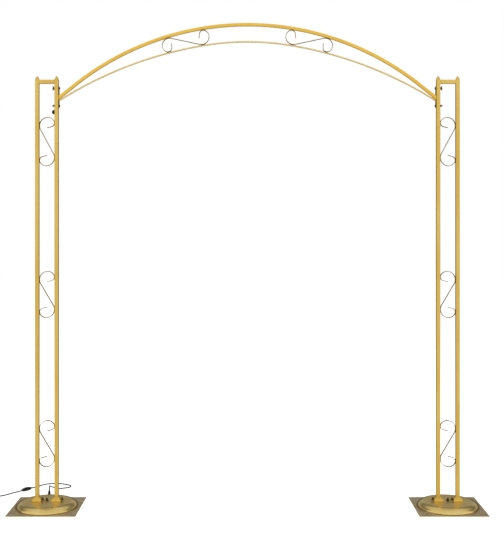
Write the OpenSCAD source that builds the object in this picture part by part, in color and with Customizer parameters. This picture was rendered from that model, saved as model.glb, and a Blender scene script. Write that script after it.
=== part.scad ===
// Free-standing garden arch in gold painted steel: two twin-post towers with
// scrollwork on weighted round bases, joined at the top by a curved lattice span.
// Millimetres, +Z up, origin on the floor midway between the towers, +Y away from the viewer.

/* [Towers] */
// Distance between the centre lines of the two towers
tower_span = 2064; // [1600:2:2600]
// How far the posts' open ends stand above the middle of the end plates
post_rise = 89; // [86:1:120]
// Distance between the centre lines of a tower's two posts
post_spacing = 100; // [84:1:140]
// Outside width of the square post tube
post_tube = 20; // [16:0.5:24]
// Wall of the square post tube
post_wall = 1.5; // [1:0.1:2.5]
// Height of the pointed dome on each post cap
cap_h = 20; // [12:0.5:30]
// Thickness of the square flange under the dome of a post cap
cap_flange_t = 2; // [1:0.5:4]
// Length of the plug that a post cap pushes into the tube
cap_plug_l = 9; // [5:0.5:20]

/* [Scrolls] */
// Thickness of the flat strip that the scrolls are bent from
strip_t = 3; // [2:0.1:4]
// Depth of the flat strip
strip_w = 12; // [8:0.5:16]
// Length of the upper scroll of each tower
upper_scroll_l = 252; // [225:1:280]
// Length of the middle and lower scrolls of each tower
lower_scroll_l = 241; // [225:1:280]
// Distance from the posts' open ends down to the middle of the upper scroll
upper_scroll_drop = 318; // [290:1:400]
// Height of the middle of the middle scroll
middle_scroll_z = 1095; // [800:1:1300]
// Height of the middle of the lower scroll
lower_scroll_z = 327; // [250:1:450]
// How far the crown of each curl lies to the inner side of the middle of its gap
crown_shift = 4; // [1:0.5:5]
// Radius of the tight bend of each curl
small_r = 20; // [12:0.5:22]
// Angle from a curl's crown at which the tight bend starts
mid_turn = 60; // [45:1:75]
// Angle from a curl's crown at which the tight bend ends
curl_turn = 166; // [130:1:190]
// Length of the straight tail of each curl
tail_l = 23; // [10:1:30]

/* [Arch] */
// Radius of the upper tube's centre line
arch_r = 1425; // [1400:1:1700]
// Height of the upper tube's centre line at the crown
arch_top = 2484; // [2400:1:2600]
// Outside width of the square arch tube
arch_tube = 16; // [12:0.5:20]
// Wall of the square arch tube
arch_wall = 1.5; // [1:0.1:2.5]
// Diameter of the lower rod
rod_d = 9; // [7:0.5:11]
// Radius of the lower rod's middle stretch
rod_mid_r = 1359; // [1250:1:1450]
// Half the width of the lower rod's middle stretch
rod_mid_x = 222; // [160:1:230]
// Distance between the centre lines of tube and rod at the crown
rod_drop = 88; // [80:1:98]
// How far the rod's line runs below the tube's centre line where they reach the posts
rod_end_drop = 4.6; // [0:0.1:6]
// Angle along the arch from its crown to the middle of each arch scroll
arch_scroll_angle = 13.4; // [12.8:0.1:18]
// Distance along the arch between the two curls of an arch scroll
arch_curl_pitch = 169; // [150:1:200]

/* [Arch joints] */
// How far the middle of the end plates lies above the tube's end
joint_rise = 10; // [0:1:20]
// Length of the end plates
joint_plate_l = 112; // [106:1:150]
// Width of the end plates
joint_plate_w = 20; // [16:0.5:20]
// Thickness of the end plates
joint_plate_t = 3; // [2:0.5:5]
// Distance between the two bolts of a joint
joint_bolt_pitch = 90; // [84:1:96]
// Diameter of the joint bolts
joint_bolt_d = 6; // [5:0.5:7]
// Diameter of the domed bolt heads
joint_head_d = 14; // [12:0.5:16]
// Height of the domed bolt heads
joint_head_h = 5.5; // [3:0.5:7]
// Radial clearance of bolts, studs and posts in their holes
hole_clear = 0.3; // [0.1:0.05:0.6]

/* [Bases] */
// Side of the square floor plates
plate_side = 350; // [330:1:450]
// Thickness of the square floor plates
plate_t = 4; // [2:0.5:8]
// Diameter of the domed base at its foot
dome_foot_d = 320; // [290:1:330]
// Diameter of the flat top of the domed base
dome_top_d = 232; // [210:1:260]
// Height of the domed base
dome_h = 28; // [20:0.5:45]
// Sheet thickness of the domed base
dome_wall = 2; // [1.5:0.1:3]
// Width of the post shoes at the foot
shoe_foot_w = 48; // [40:0.5:56]
// Width of the post shoes at the top
shoe_top_w = 25; // [24.5:0.5:30]
// Height of the upright rim of the post shoes
shoe_rim_h = 11.5; // [4:0.5:14]
// Height of the post shoes
shoe_h = 23; // [18:0.5:40]
// Wall of the post shoes
shoe_wall = 1.8; // [1:0.1:2]
// Diameter of the stud that holds each domed base to its plate
stud_d = 8; // [6:0.5:10]
// Height of the stud above the domed base
stud_rise = 16; // [12:0.5:24]

/* [Lead] */
// Diameter of the mains lead
lead_d = 6; // [5:0.1:7]
// Length of the cord gland outside the domed base
gland_l = 27; // [24:1:40]
// Turn of the cord gland about the base, from straight back to the left
gland_turn = 7; // [0:1:15]
// Length of the in-line switch
switch_l = 66; // [55:1:80]
// Width of the in-line switch
switch_w = 26; // [20:0.5:32]
// Height of the in-line switch
switch_h = 16; // [12:0.5:20]
// Diameter of the coil at the middle of its turns
coil_d = 70; // [60:1:72]
// Diameter of the cable outlet cap on the left inner post
outlet_d = 26; // [20:0.5:28]
// How far the cable outlet cap stands out from the post
outlet_h = 14.5; // [8:0.5:20]
// Distance from the posts' open ends down to the cable outlet cap
outlet_drop = 166; // [159:1:230]

/* [Hidden] */
$fn = 48;
gold = [0.86, 0.7, 0.36];
dark_gold = [0.55, 0.44, 0.25];
bronze = [0.66, 0.59, 0.46];
steel = [0.45, 0.44, 0.42];
black = [0.06, 0.06, 0.06];
// Play left where a piece only rests against or is welded to a curved one
touch = 0.1;
// Overshoot of cuts past the faces that they open
past = 1;
// Angle between the points of a bent strip
bend_step = 6;
// Straight facets in half of the rod's middle stretch; each outer stretch has twice as many
rod_steps = 7;

tower_x = tower_span / 2;
post_x = post_spacing / 2;
post_gap = post_spacing - post_tube;
base_top = plate_t + dome_h;
inner_face_x = tower_x - post_x - post_tube / 2;
plate_face_x = inner_face_x - joint_plate_t;

// The upper tube is one circle, and the towers' height follows from where it ends
arch_cz = arch_top - arch_r;
arch_end_z = arch_cz + sqrt(arch_r * arch_r - inner_face_x * inner_face_x);
joint_z = arch_end_z + joint_rise;
joint_bolt_zs = [joint_z - joint_bolt_pitch / 2, joint_z + joint_bolt_pitch / 2];
post_top = joint_z + post_rise;
upper_scroll_z = post_top - upper_scroll_drop;
outlet_z = post_top - outlet_drop;

// The lower rod is a middle arc with a flatter arc each side, which meets the tube's end
rod_mid_cz = arch_top - rod_drop - rod_mid_r;
rod_turn = asin(rod_mid_x / rod_mid_r);
rod_normal = [sin(rod_turn), cos(rod_turn)];
rod_end_step = [inner_face_x - rod_mid_x, arch_end_z - rod_end_drop - rod_mid_cz - rod_mid_r * cos(rod_turn)];
rod_end_r = -(rod_end_step * rod_end_step) / (2 * rod_normal * rod_end_step);
rod_end_c = [0, rod_mid_cz] + (rod_mid_r - rod_end_r) * rod_normal;
rod_end_turn = asin((inner_face_x - rod_end_c[0]) / rod_end_r);

// Distance from the arch's centre, along a ray at an angle from upright, to the rod's upper side
function rod_reach(a) =
    let (ray = [sin(a), cos(a)])
    let (gap = [rod_end_c[0], rod_end_c[1] - arch_cz])
    let (along = ray * gap)
    along + sqrt(pow(rod_end_r + rod_d / 2, 2) - gap * gap + along * along);
function arch_underside() = arch_r - arch_tube / 2;
function lattice_half(a) = (arch_underside() - rod_reach(a)) / 2;
function lattice_mid(a) = (arch_underside() + rod_reach(a)) / 2;
function on_arch(a, r) = [r * sin(a), arch_cz + r * cos(a)];

dome_steps = 10;
gland_slope = 38;
gland_seat = [
    (dome_top_d + (dome_foot_d - dome_top_d) * cos(gland_slope)) / 2,
    plate_t + dome_h * sin(gland_slope)
];
gland_tilt = atan2(sin(gland_slope) * (dome_foot_d - dome_top_d) / 2, cos(gland_slope) * dome_h);
gland_shank_d = lead_d + 2.4;
gland_dir = [
    -sin(gland_turn) * cos(gland_tilt),
    cos(gland_turn) * cos(gland_tilt),
    sin(gland_tilt)
];
gland_foot = [-tower_x - gland_seat[0] * sin(gland_turn), gland_seat[0] * cos(gland_turn), gland_seat[1]];
gland_end = gland_foot + (gland_l + 2 * touch) * gland_dir;

// Where the switch, the coil and the plug lie on the floor
switch_at = [-1207, 318];
switch_yaw = 232;
coil_at = [-1372, 211];
coil_band = 2 * lead_d + 1;
plug_at = [-1403, 267];
plug_yaw = 90;
plug_body = [36, 35, 14];
plug_pin = [4, 19, 19];

// The lead leaves the gland straight, then bends over in one arc until it runs down to the floor
bend_lead_in = 6.8;
bend_r = 4.6 * lead_d;
bend_fall = 20;
function over_bend(a) = gland_end + bend_lead_in * gland_dir + bend_r * [
    -sin(gland_turn) * (sin(gland_tilt) - sin(a)),
    cos(gland_turn) * (sin(gland_tilt) - sin(a)),
    cos(a) - cos(gland_tilt)
];

// Middle line of the lead from the gland to the switch, and from the switch to the coil
near_route = concat([gland_end], [for (k = [0:5]) over_bend(gland_tilt - (gland_tilt + bend_fall) * k / 5)], [
    [-1057, 210, 52.8],
    [-1056.3, 219.5, 49.1],
    [-1055, 230.5, 44.8],
    [-1053, 243, 39.9],
    [-1050, 258, 34.3],
    [-1046.2, 275, 28.1],
    [-1042.2, 293, 21.6],
    [-1038.2, 311, 15.2],
    [-1033.5, 327, 9.6],
    [-1027, 341, 5.4],
    [-1018, 351.5, 3.4],
    [-1006, 358.5, 3],
    [-993.5, 364.1, 3],
    [-983.5, 373.4, 3],
    [-978.4, 386.1, 3],
    [-979.1, 399.8, 3],
    [-985.3, 412, 3],
    [-994.8, 421.9, 3],
    [-1014, 434.7, 3],
    [-1035, 444.7, 3],
    [-1059, 451, 3],
    [-1086, 452, 3],
    [-1111, 446, 3],
    [-1132, 432, 3],
    [-1148, 412, 3],
    [-1158, 393, 3],
    [-1167, 374, 4],
    [-1176.5, 357, 6],
    [-1186.5, 344.2, 8]
]);
far_route = [
    [-1227.5, 291.8, 8],
    [-1235, 284, 6],
    [-1246, 278, 4],
    [-1258, 271, 3],
    [-1268, 261, 3],
    [-1277, 248, 3],
    [-1287, 233, 3],
    [-1298, 218, 3],
    [-1311, 205, 3],
    [-1325, 195, 3],
    [-1333, 190, 3]
];
tail_route = [
    [-1406, 240, 9],
    [-1404.5, 245, 8],
    [-1403, 249, 7]
];

// Catmull-Rom curve through a route, with the ends run on straight
function route_at(r, i) = i < 0 ? 2 * r[0] - r[1] : i >= len(r) ? 2 * r[len(r) - 1] - r[len(r) - 2] : r[i];
function curve_point(a, b, c, d, t) =
    0.5 * (2 * b + (c - a) * t + (2 * a - 5 * b + 4 * c - d) * t * t + (3 * b - a - 3 * c + d) * t * t * t);
function smooth(r, n) = concat(
    [for (i = [0:len(r) - 2], k = [0:n - 1])
        curve_point(route_at(r, i - 1), route_at(r, i), route_at(r, i + 1), route_at(r, i + 2), k / n)],
    [r[len(r) - 1]]
);
function unit(v) = v / norm(v);
function heading(path, i) = unit(path[min(i + 1, len(path) - 1)] - path[max(i - 1, 0)]);
function ring(at, along, r, n) =
    let (side = unit(cross(along, [0, 0, 1])))
    let (up = cross(side, along))
    [for (k = [0:n - 1]) at + r * (cos(360 * k / n) * side + sin(360 * k / n) * up)];

// Pieces are drawn for the right tower and mirrored to the left
module on_left() mirror([1, 0, 0]) children();

// Moves a piece from the middle of the right tower's foot into place
module in_tower(x = 0, z = 0) translate([tower_x + x, 0, z]) children();

// Turns a drawing in the XY plane upright into the XZ plane
module upright() rotate([90, 0, 0]) children();

module square_tube(outside, wall, length) {
    difference() {
        linear_extrude(length) square(outside, center = true);
        translate([0, 0, -past]) linear_extrude(length + 2 * past) square(outside - 2 * wall, center = true);
    }
}

module outer_post() {
    color(gold)
    in_tower(post_x, base_top)
    square_tube(post_tube, post_wall, post_top - base_top);
}

// The inner post is drilled for the two joint bolts, and on the left for the cable outlet
module inner_post(outlet = false) {
    color(gold)
    difference() {
        in_tower(-post_x, base_top) square_tube(post_tube, post_wall, post_top - base_top);
        for (z = joint_bolt_zs)
            in_tower(-post_x - post_tube / 2 - past, z)
            rotate([0, 90, 0])
            cylinder(h = post_tube + 2 * past, d = joint_bolt_d + 2 * hole_clear);
        if (outlet)
            in_tower(-post_x + post_tube / 2 - 2 * post_wall, outlet_z)
            rotate([0, 90, 0])
            cylinder(h = 4 * post_wall, d = outlet_d / 3 + 2 * hole_clear);
    }
}

module top_rail() {
    color(gold)
    in_tower(-post_gap / 2, post_top - post_tube / 2)
    rotate([90, 0, 90])
    square_tube(post_tube, post_wall, post_gap);
}

// Post cap: a pointed dome on a square flange, with a plug for the tube below
module cap(x) {
    plug_w = post_tube - 2 * post_wall - 2 * hole_clear;
    dome_r = post_tube / 2 - 0.5;
    steps = 8;
    color(gold)
    in_tower(x, post_top)
    union() {
        translate([-post_tube / 2, -post_tube / 2, 0]) cube([post_tube, post_tube, cap_flange_t]);
        translate([-plug_w / 2, -plug_w / 2, -cap_plug_l]) cube([plug_w, plug_w, cap_plug_l]);
        translate([0, 0, cap_flange_t])
        rotate_extrude()
        polygon(concat(
            [[0, 0]],
            [for (i = [0:steps]) [dome_r * pow(cos(90 * i / steps), 0.8), (cap_h - cap_flange_t) * i / steps]]
        ));
    }
}

// Middle line of one curl as [point, outward normal] pairs, about the centre of its big arc and
// with its crown towards +Y: a straight tail, a tight arc, a middle arc and the big arc back
function around(c, r, a) = [c + r * [cos(a), sin(a)], [cos(a), sin(a)]];
function bend(c, r, from, sweep) =
    let (n = ceil(sweep / bend_step))
    [for (i = [1:n]) around(c, r, from + sweep * i / n)];
function curl_line(half, back) =
    let (big_r = half + crown_shift)
    let (mid_r = small_r + (half - crown_shift - small_r) / sin(mid_turn))
    let (mid_c = [0, big_r - mid_r])
    let (small_c = mid_c + (mid_r - small_r) * [sin(mid_turn), cos(mid_turn)])
    let (tail_n = [sin(curl_turn), cos(curl_turn)])
    concat(
        [for (l = [tail_l, 0]) [small_c + small_r * tail_n + l * [tail_n[1], -tail_n[0]], tail_n]],
        bend(small_c, small_r, 90 - curl_turn, curl_turn - mid_turn),
        bend(mid_c, mid_r, 90 - mid_turn, mid_turn),
        bend([0, 0], big_r, 90, back)
    );
function whole_turn(a) = a - 360 * floor(a / 360);
function turned(v, a) = [v[0] * cos(a) - v[1] * sin(a), v[0] * sin(a) + v[1] * cos(a)];
function placed(line, at, a) = [for (pair = line) [at + turned(pair[0], a), turned(pair[1], a)]];
function reversed(line) = [for (i = [len(line) - 1:-1:0]) line[i]];
function flipped(line) = [for (pair = line) [pair[0], -pair[1]]];

// S scroll from two curls, each given by the centre of its big arc, the direction of its
// crown and half its width, joined by the straight that is tangent to both big arcs
module s_scroll(c1, crown1, half1, c2, crown2, half2) {
    span = c2 - c1;
    reach = half1 + half2 + 2 * crown_shift;
    tangent = atan2(span[1], span[0]) - acos(reach / norm(span));
    line = concat(
        placed(curl_line(half1, whole_turn(tangent - crown1)), c1, crown1 - 90),
        reversed(flipped(placed(curl_line(half2, whole_turn(tangent - crown2 + 180)), c2, crown2 - 90)))
    );
    color(dark_gold)
    upright()
    linear_extrude(strip_w, center = true)
    polygon(concat(
        [for (pair = line) pair[0] + pair[1] * strip_t / 2],
        [for (pair = reversed(line)) pair[0] - pair[1] * strip_t / 2]
    ));
}

// Tower scroll: the upper curl bears on the outer post, the lower curl on the inner one
module tower_scroll(length, z) {
    half = post_gap / 2 - strip_t / 2 - touch;
    centre = [crown_shift, (length - strip_t) / 2 - half - crown_shift];
    in_tower(0, z)
    mirror([1, 0, 0])
    s_scroll(centre, 90, half, -centre, 270, half);
}

// Arch scroll: it lies along the lattice, its outer curl up against the tube
module arch_scroll() {
    step = arch_curl_pitch / 2 / lattice_mid(arch_scroll_angle) * 180 / PI;
    outer = arch_scroll_angle + step;
    inner = arch_scroll_angle - step;
    s_scroll(
        on_arch(outer, lattice_mid(outer) - crown_shift), -outer, lattice_half(outer) - strip_t / 2 - touch,
        on_arch(inner, lattice_mid(inner) + crown_shift), 180 - inner, lattice_half(inner) - strip_t / 2 - touch
    );
}

// Block with an upright rim and four sloping sides, cut from two crossed prisms
module flared_block(foot_w, top_w, rim_h, h) {
    outline = [
        [-foot_w / 2, 0], [foot_w / 2, 0], [foot_w / 2, rim_h],
        [top_w / 2, h], [-top_w / 2, h], [-foot_w / 2, rim_h]
    ];
    intersection() {
        upright() linear_extrude(foot_w, center = true) polygon(outline);
        rotate([0, 0, 90]) upright() linear_extrude(foot_w, center = true) polygon(outline);
    }
}

// Post shoe: a hollow square cover that slips over the post and rests on the base
module shoe(x) {
    hole_w = post_tube + 2 * hole_clear;
    color(gold)
    in_tower(x, base_top)
    difference() {
        flared_block(shoe_foot_w, shoe_top_w, shoe_rim_h, shoe_h);
        translate([0, 0, -past])
        flared_block(shoe_foot_w - 2 * shoe_wall, hole_w, shoe_rim_h + past - shoe_wall / 2, shoe_h + past - shoe_wall);
        translate([-hole_w / 2, -hole_w / 2, -past]) cube([hole_w, hole_w, shoe_h + 2 * past]);
    }
}

// Outline of the domed base from foot to top, a quarter ellipse drawn in by the sheet's thickness
function dome_side(inset) = [for (i = [0:dome_steps])
    let (a = 90 * i / dome_steps)
    [dome_top_d / 2 - inset + (dome_foot_d - dome_top_d) / 2 * cos(a), (dome_h - inset) * sin(a)]
];

module base_dome() {
    color(bronze)
    in_tower(0, plate_t)
    difference() {
        rotate_extrude($fn = 96) polygon(concat([[0, 0]], dome_side(0), [[0, dome_h]]));
        rotate_extrude($fn = 96) polygon(concat([[0, 0]], dome_side(dome_wall), [[0, dome_h - dome_wall]]));
        cylinder(h = dome_h + past, d = stud_d + 2 * hole_clear);
    }
}

// The left base is drilled square to its skirt for the cord gland
module drilled_base_dome() {
    difference() {
        on_left() base_dome();
        gland_frame()
        translate([0, 0, -3 * dome_wall])
        cylinder(h = 6 * dome_wall, d = gland_shank_d + 2 * hole_clear);
    }
}

module base_plate() {
    color(bronze)
    in_tower()
    translate([-plate_side / 2, -plate_side / 2, 0])
    cube([plate_side, plate_side, plate_t]);
}

// Stud welded to the floor plate, up through the domed base
module base_stud() {
    color(steel)
    in_tower(0, plate_t)
    cylinder(h = dome_h + stud_rise, d = stud_d);
}

// Wing nut on its axis: a coned hub and two rounded wings that lean outwards
module wing_nut(bore_d, hub_h, span) {
    hub_r = bore_d * 0.95;
    tip_r = span * 0.11;
    wing_t = bore_d * 0.3;
    tip = [span / 2 - tip_r, hub_h * 1.9];
    difference() {
        union() {
            cylinder(h = hub_h, r1 = hub_r, r2 = hub_r * 0.8, $fn = 32);
            for (turn = [0, 180])
                rotate([0, 0, turn])
                upright()
                linear_extrude(wing_t, center = true) {
                    polygon([[0, hub_h * 0.1], [hub_r, hub_h * 0.1], [tip[0] + tip_r, tip[1]],
                        [tip[0] - tip_r, tip[1]], [0, hub_h * 0.9]]);
                    translate(tip) circle(tip_r, $fn = 24);
                }
        }
        translate([0, 0, -past]) cylinder(h = 3 * hub_h, d = bore_d, $fn = 32);
    }
}

module base_wing_nut() {
    color(dark_gold)
    in_tower(0, base_top)
    rotate([0, 0, 60])
    wing_nut(stud_d + 2 * hole_clear, 9, 32);
}

// End plate welded to the arch and bolted to the inner face of the inner post
module end_plate() {
    color(dark_gold)
    difference() {
        translate([plate_face_x, -joint_plate_w / 2, joint_z - joint_plate_l / 2])
        cube([joint_plate_t, joint_plate_w, joint_plate_l]);
        for (z = joint_bolt_zs)
            translate([plate_face_x - past, 0, z])
            rotate([0, 90, 0])
            cylinder(h = joint_plate_t + 2 * past, d = joint_bolt_d + 2 * hole_clear);
    }
}

// Domed-head bolts from the arch side, through plate and post
module joint_bolts() {
    shank_l = joint_plate_t + post_tube + 12;
    steps = 6;
    color(steel)
    for (z = joint_bolt_zs)
        translate([plate_face_x, 0, z])
        rotate([0, 90, 0])
        union() {
            cylinder(h = shank_l, d = joint_bolt_d);
            rotate_extrude()
            polygon(concat([[0, 0]], [for (i = [0:steps])
                [joint_head_d / 2 * cos(90 * i / steps), -joint_head_h * sin(90 * i / steps)]]));
        }
}

// Wing nuts on the far side of the inner post: the upper one has its wings upright
module joint_wing_nuts() {
    color(steel)
    for (i = [0, 1])
        translate([inner_face_x + post_tube, 0, joint_bolt_zs[i]])
        rotate([0, 90, 0])
        rotate([0, 0, i == 1 ? 0 : 90])
        wing_nut(joint_bolt_d + 2 * hole_clear, 7, 26);
}

// Round bar swept along a path of points, closed at both ends
module round_bar(path, r, sides) {
    last = len(path) - 1;
    points = [for (i = [0:last]) each ring(path[i], heading(path, i), r, sides)];
    polyhedron(points, concat(
        [[for (k = [0:sides - 1]) k]],
        [for (i = [0:last - 1], k = [0:sides - 1])
            let (next = (k + 1) % sides)
            [i * sides + k, (i + 1) * sides + k, (i + 1) * sides + next, i * sides + next]],
        [[for (k = [sides - 1:-1:0]) last * sides + k]]
    ));
}

// Ring-shaped stretch of the arch in the XZ plane, between two angles from upright
module arch_sweep(centre, r, from, to) {
    translate([centre[0], 0, centre[1]])
    upright()
    rotate([0, 0, 90 - to])
    rotate_extrude(angle = to - from, $fn = 180)
    translate([r, 0])
    children();
}

// Everything beyond the faces that the arch butts against
module beyond_plates() {
    for (side = [-1, 1])
        translate([side * (plate_face_x + post_x), 0, joint_z])
        cube([2 * post_x, 2 * post_tube, 4 * joint_plate_l], center = true);
}

module arch_upper_tube() {
    turn = asin(inner_face_x / arch_r);
    color(gold)
    difference() {
        arch_sweep([0, arch_cz], arch_r, -turn, turn)
        difference() {
            square(arch_tube, center = true);
            square(arch_tube - 2 * arch_wall, center = true);
        }
        beyond_plates();
    }
}

// Middle line of the rod from the crown to the right end plate
function rod_half() = concat(
    [for (i = [0:rod_steps]) let (a = rod_turn * i / rod_steps)
        [rod_mid_r * sin(a), 0, rod_mid_cz + rod_mid_r * cos(a)]],
    [for (i = [1:2 * rod_steps]) let (a = rod_turn + (rod_end_turn - rod_turn) * i / (2 * rod_steps))
        [rod_end_c[0] + rod_end_r * sin(a), 0, rod_end_c[1] + rod_end_r * cos(a)]]
);

// Takes off what lies above the tube's underside where the rod runs into it
module above_weld() {
    weld_turn = asin((plate_face_x - rod_d) / arch_r);
    translate([0, 0, arch_cz])
    rotate([0, weld_turn, 0])
    translate([0, 0, arch_underside() + post_x - 2 * touch])
    cube([2 * post_spacing, 2 * post_tube, 2 * post_x], center = true);
}

// The rod's ends are cut to the underside of the tube, where they are welded
module arch_lower_rod() {
    half = rod_half();
    color([0.93, 0.82, 0.58])
    difference() {
        round_bar(concat([for (i = [len(half) - 1:-1:1]) [-half[i][0], 0, half[i][2]]], half), rod_d / 2, 12);
        above_weld();
        on_left() above_weld();
        beyond_plates();
    }
}

// Domed plastic cap on a short stem, over the hole where the wire enters the post
module cable_outlet_cap() {
    steps = 8;
    color(black)
    on_left()
    in_tower(-post_x + post_tube / 2, outlet_z)
    rotate([0, 90, 0])
    union() {
        translate([0, 0, -2 * post_wall]) cylinder(h = 2 * post_wall, d = outlet_d / 3);
        rotate_extrude()
        polygon(concat([[0, 0]], [for (i = [0:steps])
            [outlet_d / 2 * cos(90 * i / steps), outlet_h * sin(90 * i / steps)]]));
    }
}

// Puts a drawing on the gland's axis, with its foot on the skirt of the left base
module gland_frame() {
    translate(gland_foot)
    rotate([0, 0, gland_turn])
    rotate([gland_tilt - 90, 0, 0])
    children();
}

// Strain relief: shank through the skirt, flange outside it and a long ribbed taper
module cord_gland() {
    flange_t = 3;
    ribs = 4;
    tip_r = lead_d / 2 + 1;
    foot_r = gland_shank_d / 2 + 0.8;
    pitch = (gland_l - flange_t - touch) / ribs;
    color(black)
    gland_frame()
    rotate_extrude()
    polygon(concat(
        [[0, -2 * dome_wall], [gland_shank_d / 2, -2 * dome_wall], [gland_shank_d / 2, touch]],
        [[foot_r + 2, touch], [foot_r + 2, flange_t]],
        [for (i = [0:ribs - 1], k = [0, 1])
            let (r = foot_r + (tip_r - foot_r) * i / ribs)
            [r - (k == 1 ? 0.6 : 0), flange_t + pitch * (i + k * 0.8)]],
        [[tip_r, gland_l], [0, gland_l]]
    ));
}

// Lead swept along a smoothed route as a tube of ten sides
module lead(route, n) color(black) round_bar(smooth(route, n), lead_d / 2, 10);

module switch_frame() translate([switch_at[0], switch_at[1], 0]) rotate([0, 0, switch_yaw]) children();

// In-line switch: a flat moulded body, waisted at both ends, with a recess for the rocker
module inline_switch() {
    neck_w = lead_d + 4;
    shoulder = switch_l / 2 - 14;
    outline = [
        [-switch_l / 2, -neck_w / 2], [-shoulder - 6, -switch_w / 2 + 4], [-shoulder, -switch_w / 2],
        [shoulder, -switch_w / 2], [shoulder + 6, -switch_w / 2 + 4], [switch_l / 2, -neck_w / 2]
    ];
    across = [for (i = [len(outline) - 1:-1:0]) [outline[i][0], -outline[i][1]]];
    color(black)
    switch_frame()
    difference() {
        linear_extrude(switch_h) polygon(concat(outline, across));
        translate([0, 0, switch_h - 4]) linear_extrude(4 + past) square([22, 12], center = true);
    }
}

// Rocker of the in-line switch, a shallow V pressed down on one side
module switch_rocker() {
    rocker_l = 22 - 4 * hole_clear;
    rocker_w = 12 - 4 * hole_clear;
    color([0.15, 0.15, 0.15])
    switch_frame()
    translate([0, 0, switch_h - 4])
    upright()
    linear_extrude(rocker_w, center = true)
    polygon([[-rocker_l / 2, 0], [rocker_l / 2, 0], [rocker_l / 2, 6.5], [1, 4.6], [-rocker_l / 2, 4]]);
}

// The spare lead, wound into a round coil of two layers
module lead_coil() {
    color(black)
    translate([coil_at[0], coil_at[1], 0])
    rotate_extrude($fn = 72)
    translate([(coil_d - coil_band) / 2, 0])
    square([coil_band, 2 * lead_d]);
}

// Flat two-pin plug, tapered to the lead
module mains_plug() {
    w = plug_body[1];
    neck_w = lead_d + 6;
    color(black)
    translate([plug_at[0], plug_at[1], 0])
    rotate([0, 0, plug_yaw])
    union() {
        translate([-plug_body[0] / 2, 0, 0])
        linear_extrude(plug_body[2])
        polygon([[0, -neck_w / 2], [12, -neck_w / 2], [22, -w / 2 + 3], [26, -w / 2], [plug_body[0], -w / 2],
            [plug_body[0], w / 2], [26, w / 2], [22, w / 2 - 3], [12, neck_w / 2], [0, neck_w / 2]]);
        for (side = [-1, 1])
            translate([plug_body[0] / 2 - past, side * plug_pin[2] / 2, plug_body[2] / 2])
            rotate([0, 90, 0])
            cylinder(h = plug_pin[1] + past, d = plug_pin[0]);
    }
}

on_left() outer_post();  // left_outer_post
on_left() inner_post(outlet = true);  // left_inner_post
on_left() top_rail();  // left_top_rail
on_left() cap(post_x);  // left_outer_cap
on_left() cap(-post_x);  // left_inner_cap
on_left() tower_scroll(upper_scroll_l, upper_scroll_z);  // left_upper_scroll
on_left() tower_scroll(lower_scroll_l, middle_scroll_z);  // left_middle_scroll
on_left() tower_scroll(lower_scroll_l, lower_scroll_z);  // left_lower_scroll
on_left() shoe(post_x);  // left_outer_shoe
on_left() shoe(-post_x);  // left_inner_shoe
drilled_base_dome();  // left_base_dome
on_left() base_plate();  // left_base_plate
on_left() base_stud();  // left_base_stud
on_left() base_wing_nut();  // left_base_wing_nut
on_left() end_plate();  // left_end_plate
on_left() joint_bolts();  // left_joint_bolts
on_left() joint_wing_nuts();  // left_joint_wing_nuts
outer_post();  // right_outer_post
inner_post();  // right_inner_post
top_rail();  // right_top_rail
cap(post_x);  // right_outer_cap
cap(-post_x);  // right_inner_cap
tower_scroll(upper_scroll_l, upper_scroll_z);  // right_upper_scroll
tower_scroll(lower_scroll_l, middle_scroll_z);  // right_middle_scroll
tower_scroll(lower_scroll_l, lower_scroll_z);  // right_lower_scroll
shoe(post_x);  // right_outer_shoe
shoe(-post_x);  // right_inner_shoe
base_dome();  // right_base_dome
base_plate();  // right_base_plate
base_stud();  // right_base_stud
base_wing_nut();  // right_base_wing_nut
end_plate();  // right_end_plate
joint_bolts();  // right_joint_bolts
joint_wing_nuts();  // right_joint_wing_nuts
arch_upper_tube();
arch_lower_rod();
on_left() arch_scroll();  // arch_left_scroll
arch_scroll();  // arch_right_scroll
cable_outlet_cap();
cord_gland();
lead(near_route, 2);  // lead_near
inline_switch();
switch_rocker();
lead(far_route, 1);  // lead_far
lead_coil();
lead(tail_route, 1);  // lead_tail
mains_plug();
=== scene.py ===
"""Looks for the free-standing garden arch: gold painted steel towers, arch, scrollwork and bases."""
import math

import bmesh
import bpy
import numpy as np
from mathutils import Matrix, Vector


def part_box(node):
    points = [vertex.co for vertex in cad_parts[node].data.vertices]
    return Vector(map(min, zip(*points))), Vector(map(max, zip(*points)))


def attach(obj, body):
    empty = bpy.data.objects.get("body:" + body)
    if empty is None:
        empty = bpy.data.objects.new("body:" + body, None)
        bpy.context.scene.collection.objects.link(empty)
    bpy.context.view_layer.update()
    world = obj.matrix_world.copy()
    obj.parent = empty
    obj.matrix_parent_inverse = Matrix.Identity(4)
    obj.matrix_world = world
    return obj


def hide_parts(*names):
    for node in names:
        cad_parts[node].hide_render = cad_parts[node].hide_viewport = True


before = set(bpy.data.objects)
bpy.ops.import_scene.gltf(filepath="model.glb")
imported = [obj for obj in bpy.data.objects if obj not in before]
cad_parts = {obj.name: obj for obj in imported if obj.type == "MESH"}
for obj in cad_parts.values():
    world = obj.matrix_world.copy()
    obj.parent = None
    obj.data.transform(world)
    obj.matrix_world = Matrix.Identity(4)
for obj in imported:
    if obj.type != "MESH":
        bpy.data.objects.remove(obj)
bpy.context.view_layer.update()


# Camera. It stands 5.2 m in front of the arch at chest height, level, with the picture shifted
# down and a little to the side so that the posts stay upright.
camera = bpy.data.objects.new("camera", bpy.data.cameras.new("camera"))
bpy.context.scene.collection.objects.link(camera)
bpy.context.scene.camera = camera
camera.location = (0, -5.177, 1.479)
camera.rotation_euler = (math.radians(90), 0, 0)
camera.data.sensor_width = 36
camera.data.lens = 36 * 1005.4 / 540
camera.data.shift_x = 0.0085
camera.data.shift_y = -0.0928
camera.data.clip_end = 60
bpy.context.scene.view_settings.view_transform = "Standard"


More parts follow.
